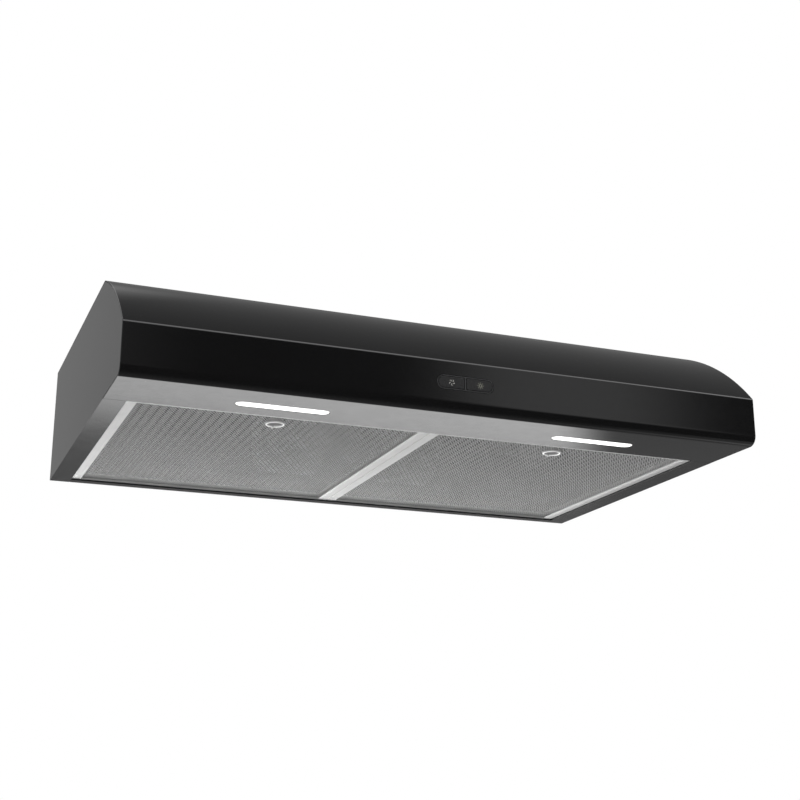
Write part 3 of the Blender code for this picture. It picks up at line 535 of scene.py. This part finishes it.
def turned(edit, profile, steps, middle, closed=False):
    """Adds a profile of (radius, height) turned about an axis along Z."""
    rows = []
    for step in range(steps):
        angle = FULL_TURN * step / steps
        row = []
        for radius, height in profile:
            point = (radius * math.cos(angle), radius * math.sin(angle), height)
            row.append(edit.verts.new(Vector(middle) + Vector(point)))
        rows.append(row)
    for row, after in zip(rows, rows[1:] + rows[:1]):
        ahead = row[1:] + row[:1] if closed else row[1:]
        beyond = after[1:] + after[:1] if closed else after[1:]
        for corners in zip(row, ahead, beyond, after):
            edit.faces.new(corners)


# ---- Casing -------------------------------------------------------------------------------------


def fillet(before, corner, after, radius, steps):
    """Points of a rounded corner between two straight runs."""
    back = (before - corner).normalized()
    ahead = (after - corner).normalized()
    half = back.angle(ahead) / 2
    middle = corner + (back + ahead).normalized() * radius / math.sin(half)
    first = corner + back * radius / math.tan(half) - middle
    last = corner + ahead * radius / math.tan(half) - middle
    start = math.atan2(first.y, first.x)
    turn = math.remainder(math.atan2(last.y, last.x) - start, FULL_TURN)
    return [Vector(point) for point in arc(middle, radius, start, start + turn, steps)]


def wrap_path(low, high):
    """The wrap's outer surface as (y, z), from the top's rear round the front to the upstand."""
    top_front = Vector((WALL_Y - TOP_DEPTH, high.z))
    crease = Vector((low.y, low.z + FACE_HEIGHT))
    chord = crease - top_front
    rise = math.sqrt(CURVE_RADIUS**2 - (chord.length / 2) ** 2)
    middle = (top_front + crease) / 2 + Vector((-chord.y, chord.x)).normalized() * rise
    start = math.atan2(top_front.y - middle.y, top_front.x - middle.x)
    end = math.atan2(crease.y - middle.y, crease.x - middle.x)
    curve = [Vector(point) for point in arc(middle, CURVE_RADIUS, start, end, 72)]
    nose_middle = (low.y + NOSE_RADIUS, low.z + NOSE_RADIUS)
    turn = (2 * QUARTER, 3 * QUARTER)
    nose = [Vector(point) for point in arc(nose_middle, NOSE_RADIUS, *turn, 16)]
    rear = Vector((high.y, high.z))
    bend = fillet(rear, top_front, curve[1], BEND_RADIUS, 6)
    ridge = fillet(curve[-2], crease, nose[0], CREASE_RADIUS, 10)
    lip = WALL_Y - OPENING_FRONT
    ends = [Vector((lip, low.z)), Vector((lip, low.z + UPSTAND))]
    return [rear] + bend + curve[1:-1] + ridge + nose + ends


def offset(path, distance):
    """The path moved to its left by the distance, with square corners kept square."""
    moved = []
    for index, point in enumerate(path):
        normals = []
        for start, end in ((index - 1, index), (index, index + 1)):
            if start >= 0 and end < len(path):
                run = (path[end] - path[start]).normalized()
                normals.append(Vector((-run.y, run.x)))
        normal = sum(normals, Vector((0, 0))).normalized()
        moved.append(point + normal * distance / normal.dot(normals[0]))
    return moved


def rectangle(x0, y0, x1, y1):
    return [(x0, y0), (x1, y0), (x1, y1), (x0, y1)]


def keyhole(x, y):
    """A round hole for a screw's head, with a slot towards the wall."""
    head, neck, reach = 0.0055, 0.0028, 0.011
    lean = math.asin(neck / head)
    round_end = arc((x, y), head, QUARTER + lean, 5 * QUARTER - lean, 32)
    return round_end + arc((x, y + reach), neck, 0, HALF_TURN, 16)


def shell_holes(low, high):
    """What is cut from the wrap: its holes and slots, and the ends of the upstand."""
    collar_low, collar_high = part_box("duct_collar")
    inset = COLLAR_FLANGE + SHEET
    top = (high.z - 0.005, high.z + 0.005, "Z")
    duct = rectangle(
        collar_low.x + inset, collar_low.y + inset, collar_high.x - inset, collar_high.y - inset
    )
    solids = [(duct, *top)]
    solids += [(keyhole(x, y), *top) for x, y in KEYHOLES]
    bushing_low, bushing_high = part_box("cable_bushing")
    middle = (bushing_low + bushing_high) / 2
    solids.append((arc(middle.xy, CABLE_HOLE, 0, FULL_TURN, 48)[:-1], *top))
    bezel_low, bezel_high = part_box("control_bezel")
    size = bezel_high - bezel_low
    slot = stadium((0, (bezel_low.z + bezel_high.z) / 2), size.x + 2 * GAP, size.z + 2 * GAP)
    before, past = 0.002, 0.003  # how far a cutter starts before the sheet and ends past it
    solids.append((slot, low.y - before, low.y + past, "Y"))
    lip = WALL_Y - OPENING_FRONT
    for sign in SIDES.values():
        middle = (sign * LIGHT_X, WALL_Y - LIGHT_OUT)
        slot = stadium(middle, LIGHT_LENGTH + 2 * GAP, LIGHT_WIDTH + 2 * GAP)
        solids.append((slot, low.z - before, low.z + past, "Z"))
        ends = sorted((sign * (high.x - before), sign * (high.x + before)))
        relief = rectangle(ends[0], lip - SHEET - GAP, ends[1], lip + SHEET)
        solids.append((relief, low.z + SHEET, low.z + UPSTAND + before, "Z"))
    return solids


def shell():
    """The painted wrap, one bent sheet. Its two ends are rounded over the whole sheet."""
    low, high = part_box("hood_shell")
    outer = wrap_path(low, high)
    section = outer + offset(outer, SHEET)[::-1]
    count = len(outer)
    edit = bmesh.new()
    ends = [[edit.verts.new((x, *point)) for point in section] for x in (low.x, high.x)]
    for index in range(len(section)):
        after = (index + 1) % len(section)
        edit.faces.new((ends[0][index], ends[0][after], ends[1][after], ends[1][index]))
    for row in ends:
        for index in range(count - 1):
            inner = len(section) - 1 - index
            edit.faces.new((row[index], row[index + 1], row[inner - 1], row[inner]))
    bmesh.ops.recalc_face_normals(edit, faces=edit.faces)
    edit = carved(edit, shell_holes(low, high))
    end = high.x - 10 * MERGE

    def weigh(edge):
        return 1.0 if all(abs(vertex.co.x) > end for vertex in edge.verts) else 0.25

    smooth_piece("wrap", edit, "hood_shell", SHELL_EDGE, 4, weigh)


def collar_screws():
    """Six pan-head screws with a cross recess, along the duct collar's flange."""
    radius, height = 0.0028, 0.0017
    inner, outer, depth = 0.00045, 0.0017, 0.0008  # the recess's arms
    dome = [(radius * out, height * (1 - out**2)) for out in (1 - step / 6 for step in range(7))]
    arm = ((inner, inner), (outer, inner), (outer, -inner))
    quarters = ((1, 0), (0, -1), (-1, 0), (0, 1))  # cosine and sine
    recess = [(x * c - y * s, x * s + y * c) for c, s in quarters for x, y in arm]
    screw = bmesh.new()
    turned(screw, dome, 28, (0, 0, 0))
    bmesh.ops.remove_doubles(screw, verts=screw.verts, dist=MERGE)
    bmesh.ops.holes_fill(screw, edges=screw.edges, sides=0)
    screw = carved(screw, [(recess, height - depth, height + depth, "Z")])
    low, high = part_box("duct_collar")
    from_end, from_side = 0.030, COLLAR_FLANGE / 2
    edit = bmesh.new()
    shape = bpy.data.meshes.new("screw")
    for x in (low.x + from_end, (low.x + high.x) / 2, high.x - from_end):
        for y in (low.y + from_side, high.y - from_side):
            moved = screw.copy()
            bmesh.ops.translate(moved, vec=(x, y, low.z + SHEET), verts=moved.verts)
            moved.to_mesh(shape)
            moved.free()
            edit.from_mesh(shape)
    screw.free()
    bpy.data.meshes.remove(shape)
    piece("collar_screws", to_mesh("collar_screws", edit), (), "hood", "screw_zinc")


def casing():
    shell()
    collar_screws()
    for side in SIDES:
        refined("side_panel_" + side, 0.0003, 3)
    refined("rear_panel", 0.0003, 3)
    refined("rear_knockout", 0.0003, 3)
    refined("duct_collar", 0.0002, 2)
    refined("damper_flap", 0.0002, 2)
    refined("damper_pin", 0.0002, 2)
    refined("cable_bushing", 0.0003, 3)


# ---- Grease filters -----------------------------------------------------------------------------


def diamonds(name, node, pitch, share, hole, finish):
    """Expanded metal over the frame's window: strands of a rhombic section round diamond openings.

    share is an opening's size against its cell's. Cells inside the hole, given as (x, y, radius),
    are left out, and those that cross its rim end on it.
    """
    low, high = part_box(node)
    outer_low, outer_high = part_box("filter_frame_" + node.rsplit("_", 1)[1])
    inset = FRAME_SIDE - MESH_REACH
    x0, y0 = outer_low.x + inset, outer_low.y + FRAME_FRONT - MESH_REACH
    width, depth = outer_high.x - inset - x0, outer_high.y - FRAME_REAR + MESH_REACH - y0
    columns = 2 * round(width / pitch[0])
    rows = 2 * round(depth / pitch[1])
    half = (width / columns, depth / rows)
    middle_z = (low.z + high.z) / 2
    points = []
    knots = {}
    faces = []

    def place(x, y, z):
        if hole:
            run = Vector((x - hole[0], y - hole[1]))
            if run.length < hole[2]:
                run = run.normalized() * hole[2]
                x, y = hole[0] + run.x, hole[1] + run.y
        points.append((x, y, z))
        return len(points) - 1

    def knot(column, row):
        """The strands' two points, one over the other, where four cells meet."""
        if (column, row) not in knots:
            x, y = x0 + column * half[0], y0 + row * half[1]
            levels = (middle_z - STRAND / 2, middle_z + STRAND / 2)
            knots[column, row] = [place(x, y, z) for z in levels]
        return knots[column, row]

    around = ((1, 0), (0, 1), (-1, 0), (0, -1))
    for column in range(1, columns):
        for row in range(2 - column % 2, rows, 2):  # every other cell, as the openings stagger
            x, y = x0 + column * half[0], y0 + row * half[1]
            if hole and math.dist((x, y), hole[:2]) < hole[2] - 0.3 * pitch[0]:
                continue
            ring = [knot(column + a, row + b) for a, b in around]
            rim = []
            for a, b in around:
                rim.append(place(x + a * half[0] * share, y + b * half[1] * share, middle_z))
            for index in range(4):
                after = (index + 1) % 4
                faces.append((ring[after][0], ring[index][0], rim[index], rim[after]))
                faces.append((ring[index][1], ring[after][1], rim[after], rim[index]))
    mesh = bpy.data.meshes.new(name)
    mesh.from_pydata(points, [], faces)
    mesh.shade_smooth()
    piece(name, mesh, [node], finish=finish)


def rail_profile(width, bottom, top):
    """A channel's section as (depth from the outer edge, z), its outer edges rolled.

    The flange below has a hem, unless it is narrow.
    """
    roll, web = 0.0005, 0.0010  # the outer edges' radius, and the channel's thickness
    profile = [(width, top - web), (width, top)]
    profile += arc((roll, top - roll), roll, QUARTER, 2 * QUARTER, 5)
    profile += arc((roll, bottom + roll), roll, 2 * QUARTER, 3 * QUARTER, 5)
    if width == FRAME_SIDE:
        hem, groove, fold = 0.0026, 0.00045, 0.0008
        profile += [(width - hem - groove, bottom)]
        profile += [(width - hem - groove * 0.5, bottom + groove * 0.7)]
        profile += [(width - hem, bottom + groove * 0.15)]
        profile += arc((width - fold, bottom + fold + 0.00005), fold, -QUARTER, 0, 4)
    else:
        edge = 0.0003
        profile += [(width - 0.0022, bottom), (width - 0.0012, bottom)]
        profile += arc((width - edge, bottom + edge), edge, -QUARTER, 0, 4)
    profile += [(width, bottom + FRAME_LIP), (web, bottom + FRAME_LIP), (web, top - web)]
    return profile


def frame_rails(side):
    """Four mitred channel rails, the front and rear ones narrower."""
    node = "filter_frame_" + side
    low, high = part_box(node)
    gap = 0.00006  # either side of a mitre
    widths = (FRAME_FRONT, FRAME_SIDE, FRAME_REAR, FRAME_SIDE)
    corners = rectangle(low.x, low.y, high.x, high.y)
    edit = bmesh.new()
    for index, start in enumerate(corners):
        after = (index + 1) % 4
        end = corners[after]
        width = widths[index]
        along = (Vector(end) - Vector(start)).normalized()
        inward = Vector((-along.y, along.x))
        ends = []
        for origin, way, beside in ((start, 1, index - 1), (end, -1, after)):
            slant = widths[beside] / width
            row = []
            for depth, z in rail_profile(width, low.z, high.z):
                shift = along * way * (depth * slant + gap) + inward * depth
                row.append(edit.verts.new((origin[0] + shift.x, origin[1] + shift.y, z)))
            ends.append(row)
        first, last = ends
        for face in zip(first, first[1:] + first[:1], last[1:] + last[:1], last):
            edit.faces.new(face)
        edit.faces.new(first)
        edit.faces.new(last[::-1])
    flat_shading(piece("frame_rails_" + side, to_mesh(node, edit), [node]))


def pull(side):
    """The finger cup with its staple, and the wire ring that hangs in it."""
    refined("pull_cup_" + side, 0.00012, 2, "cup")
    low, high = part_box("pull_ring_" + side)
    radius = (high.x - low.x) / 2 - RING_WIRE
    edit = bmesh.new()
    wire = [(radius + a, b) for a, b in arc((0, 0), RING_WIRE, 0, FULL_TURN, 14)[:-1]]
    turned(edit, wire, 72, (low + high) / 2, closed=True)
    name = "ring_wire_" + side
    piece(name, to_mesh(name, edit), ["pull_ring_" + side], finish="wire")


def filters():
    for side in SIDES:
        cup_low, cup_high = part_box("pull_cup_" + side)
        rim = (cup_high.x - cup_low.x) / 2
        middle = ((cup_low.x + cup_high.x) / 2, cup_high.y - rim)
        for layer, (pitch, share, shrink, finish) in FOILS.items():
            hole = None if shrink is None else (*middle, rim - shrink)
            node = f"filter_{layer}_mesh_{side}"
            diamonds(f"{layer}_foil_{side}", node, pitch, share, hole, finish)
        frame_rails(side)
        pull(side)
        refined("leaf_spring_" + side, 0.0001, 1)


# ---- Lights and controls ------------------------------------------------------------------------


def lights():
    for side, sign in SIDES.items():
        low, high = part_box("light_lens_" + side)
        middle = (sign * LIGHT_X, WALL_Y - LIGHT_OUT)
        bar = stadium(middle, LIGHT_LENGTH - 2 * LENS_PLAY, LIGHT_WIDTH - 2 * LENS_PLAY)
        rim = stadium((high + low).xy / 2, high.x - low.x, high.y - low.y)
        ledge = low.z + 0.0019  # where the bar that fills the slot meets the wider rim behind it
        slab("lens_bar_" + side, [bar], low.z, ledge, "Z", ["light_lens_" + side], 0.0004)
        slab("lens_rim_" + side, [rim], ledge, high.z, "Z", (), 0.0002, "light_lens", "hood")
        refined("light_housing_" + side, 0.0003, 2)
        refined("led_board_" + side, 0.0001, 1)
    refined("led_driver", 0.0008, 3)


def stroke(points, width):
    """The outline of a line of even width through the points."""
    sides = [offset(points, width / 2), offset(points, -width / 2)]
    return [tuple(point) for point in sides[0] + sides[1][::-1]]


def polar(angle, radius):
    """The vector of that length at that angle."""
    return Vector((math.cos(angle), math.sin(angle))) * radius


def fan_mark(middle):
    """Five thin swept blades round an open middle."""
    hub, rise, sweep, width = 0.0013, 0.0020, 0.70, 0.00042
    blades = []
    for index in range(5):
        turn = FULL_TURN * index / 5 + 0.5
        path = []
        for step in range(10):
            t = step / 9
            radius = hub + rise * math.sin(t * HALF_TURN * 0.62)
            path.append(Vector(middle) + polar(turn + sweep * t, radius))
        blades.append([stroke(path, width)])
    return blades


def light_mark(middle):
    """A small ring with eight short rays."""
    ring, rays, width = (0.0019, 0.0013), (0.0026, 0.0039), 0.00055
    plates = [[arc(middle, radius, 0, FULL_TURN, 36)[:-1] for radius in ring]]
    for index in range(8):
        angle = FULL_TURN * index / 8
        plates.append([stroke([Vector(middle) + polar(angle, reach) for reach in rays], width)])
    return plates


def mark_plates(name, plates, front, body, finish):
    """Printed shapes that stand a hair proud of a button's face, which is at front + INK."""
    edit = bmesh.new()
    for outlines in plates:
        fill(edit, outlines, lambda x, z: (x, front + INK, z))
    thicken(edit, (0, -0.9 * INK, 0))
    piece(name, to_mesh(name, edit), (), body, finish)


def controls():
    """The bezel, and behind it a cap, a flange and a printed mark for each button."""
    low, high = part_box("control_bezel")
    middle_z = (low.z + high.z) / 2
    length, height = high.x - low.x, high.z - low.z
    rim, divider = 0.0012, 0.0016
    flange_reach = 0.0006  # how far a flange goes in behind the bezel

    def half(sign, inset):
        """The opening on one side of the divider, drawn in by the inset."""
        outer = length / 2 - rim - inset
        return half_stadium(sign, divider / 2 + inset, outer, middle_z, height - 2 * (rim + inset))

    outlines = [stadium((0, middle_z), length - CAP_PLAY, height - CAP_PLAY)]
    outlines += [half(sign, 0.0) for sign in SIDES.values()]
    slab("bezel_ring", outlines, low.y, high.y, "Y", ["control_bezel"], 0.00025, "bezel")
    for name, sign, mark in (("fan", -1, fan_mark), ("light", 1, light_mark)):
        node = "button_" + name
        body = BODY_OF[node]
        front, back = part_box(node)
        step = front.y + 0.0040
        face = [half(sign, GAP + CAP_PLAY)]
        slab(node + "_cap", face, front.y + INK, step, "Y", [node], 0.00025)
        flange = ([half(sign, GAP - flange_reach)], step + 0.0001, back.y, "Y")
        slab(node + "_flange", *flange, (), 0.0001, "black_plastic", body)
        plates = mark((MARK_X[name], middle_z))
        mark_plates(name + "_mark", plates, front.y, body, name + "_ink")
    refined("control_housing", 0.0004, 2)
    refined("control_board", 0.0001, 1)


# ---- Blower and wiring --------------------------------------------------------------------------


def blower():
    for side in SIDES:
        refined("scroll_" + side, 0.0002, 2)
        refined("inlet_ring_" + side, 0.0002, 2)
        refined("blower_wheel_" + side, 0.00015, 1)
    refined("motor_body", 0.0008, 3)
    refined("motor_shaft", 0.0003, 2)
    refined("motor_cradle", 0.0002, 2)
    refined("blower_plate", 0.0002, 2)
    refined("run_capacitor", 0.0010, 3)
    refined("capacitor_strap", 0.0002, 2)


def wiring():
    refined("wiring_box", 0.0003, 2)
    refined("wiring_box_cover", 0.0002, 2)


# ---- Stage --------------------------------------------------------------------------------------


def camera():
    data = bpy.data.cameras.new("photo_camera")
    data.lens = CAMERA_LENS
    data.sensor_width = SENSOR
    made = bpy.data.objects.new("photo_camera", data)
    made.location = CAMERA_PLACE
    made.rotation_euler = [math.radians(angle) for angle in CAMERA_TURN]
    bpy.context.scene.collection.objects.link(made)
    bpy.context.scene.camera = made


def card(graph, azimuth, elevation, where, soft, strength, slant):
    """A soft-edged light card on the sky, placed as CARDS says."""
    elevation = graph.math("SUBTRACT", elevation, graph.math("MULTIPLY", azimuth, slant))
    edges = []
    for value, low, high, blur in (
        (azimuth, where[0], where[1], soft[0]),
        (elevation, where[2], where[3], soft[1]),
    ):
        low, high, blur = (math.radians(angle) for angle in (low, high, blur))
        edges.append(graph.ramp(value, low - blur, low + blur, smooth=True))
        edges.append(graph.ramp(value, high - blur, high + blur, 1.0, 0.0, smooth=True))
    product = edges[0]
    for edge in edges[1:]:
        product = graph.math("MULTIPLY", product, edge)
    return graph.math("MULTIPLY", product, strength)


# Each card, in degrees: its place (azimuth from, to, elevation from, to) and the softness of its
# edges in azimuth and elevation. Then its strength, and how much its level edges slant. Azimuth
# runs from +Y towards +X.
CARDS = (
    ((-75, 29.4, -24, -16.95), (1.3, 0.9), 1.54, 0.10),  # low, behind: on the underside
    ((146.9, 155.9, 0, 30), (2.6, 8.0), 0.75, 0.0),  # in front, to the right: on the upright face
    ((170.0, 183, 0, 30), (3.0, 8.0), 0.22, 0.0),  # straight in front
    ((-60, 0, 4, 34), (8.0, 8.0), 0.11, 0.0),  # beyond the left side: on the side panel
    ((-150, -75, 42, 75), (12.0, 8.0), 1.3, 0.0),  # left, high
    ((-176, -8, -70, -10), (6.0, 10.0), 0.95, 0.0),  # left, below: on the left side and the rear
    ((52, 114, -50, 14), (6.0, 12.0), 1.0, 0.0),  # right: on the right side and the rear
    ((108, 137, 10, 44), (5.0, 8.0), 0.8, 0.0),  # in front, to the right: on the top from behind
    ((-168, -105, 8, 40), (10.0, 8.0), 0.8, 0.0),  # in front, to the left: on the top from behind
    ((-70, 8, 40, 78), (10.0, 6.0), 1.2, 0.0),  # behind, high: on the top from the front
)
# A card above the front: where it fades in along x, y and z of the direction, and its strength.
OVERHEAD = ((0.02, 0.12), (0.13, 0.04), (0.50, 0.66), 2.3)
SKY = (0.09, 0.19)  # ahead of the hood, and behind it
SKY_FADE = (-0.35, 0.10)  # y of the direction
# Each light: its place, its target, its width across and its power.
LIGHTS = {
    "key_light": ((-2.2, -1.8, 2.6), (0, 0, -0.2), 1.8, 110),
    "fill_light": ((2.4, 1.6, 2.2), (0, 0, -0.2), 2.4, 60),
    "low_light": ((-0.1, 0.75, -0.50), (0, 0.15, -0.15), 0.8, 38),
}


def world():
    made = bpy.data.worlds.new("studio")
    bpy.context.scene.world = made
    made.use_nodes = True
    graph = Graph(made.node_tree)
    made.node_tree.nodes.clear()
    toward = graph.add("ShaderNodeTexCoord")
    split = made.node_tree.nodes.new("ShaderNodeSeparateXYZ")
    made.node_tree.links.new(toward, split.inputs[0])
    x, y, z = split.outputs
    azimuth = graph.math("ARCTAN2", x, y)
    elevation = graph.math("ARCSINE", z)
    total = graph.ramp(y, *SKY_FADE, *SKY)
    above = OVERHEAD[3]
    for value, limits in zip((x, y, z), OVERHEAD):
        above = graph.math("MULTIPLY", graph.ramp(value, *limits, smooth=True), above)
    total = graph.math("ADD", total, above)
    for place in CARDS:
        total = graph.math("ADD", total, card(graph, azimuth, elevation, *place))
    studio = graph.add("ShaderNodeBackground", {"Strength": total})
    backdrop = graph.add("ShaderNodeBackground", {"Strength": 1.0})
    for node in made.node_tree.nodes:
        if node.type == "BACKGROUND":
            node.inputs["Color"].default_value = (1, 1, 1, 1)
    path = graph.add("ShaderNodeLightPath")
    mixed = graph.add("ShaderNodeMixShader", {0: path, 1: studio, 2: backdrop})
    output = made.node_tree.nodes.new("ShaderNodeOutputWorld")
    made.node_tree.links.new(mixed, output.inputs["Surface"])


def area_light(name, place, target, size, power):
    """A round light that shines on things and doesn't show, itself or mirrored."""
    data = bpy.data.lights.new(name, "AREA")
    data.shape = "DISK"
    data.size = size
    data.energy = power
    made = bpy.data.objects.new(name, data)
    made.location = place
    run = Vector(target) - Vector(place)
    made.rotation_euler = run.to_track_quat("-Z", "Y").to_euler()
    made.visible_glossy = False
    made.visible_camera = False
    bpy.context.scene.collection.objects.link(made)


def floor():
    edit = bmesh.new()
    bmesh.ops.create_grid(edit, x_segments=4, y_segments=4, size=FLOOR_REACH)
    bmesh.ops.translate(edit, vec=(0, 0, FLOOR_Z), verts=edit.verts)
    mesh = bpy.data.meshes.new("floor")
    edit.to_mesh(mesh)
    edit.free()
    mesh.materials.append(LOOKS["floor"])
    made = bpy.data.objects.new("floor", mesh)
    made.visible_glossy = False
    bpy.context.scene.collection.objects.link(made)
    made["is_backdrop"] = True


def stage():
    world()
    floor()
    for name, settings in LIGHTS.items():
        area_light(name, *settings)
    colours = bpy.context.scene.view_settings
    colours.view_transform = "Standard"
    colours.look = "None"


def carried_over():
    """Gives each CAD node that still shows the finish of its slot."""
    for made in frame["nodes"].values():
        if not made.hide_render:
            for holder in made.material_slots:
                holder.material = LOOKS[holder.material.name]


camera()
make_looks()
casing()
filters()
lights()
controls()
blower()
wiring()
carried_over()
stage()

boxes = {"cad": CAD_BOX, "visual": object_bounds()}
{name: [list(corner) for corner in pair] for name, pair in boxes.items()}
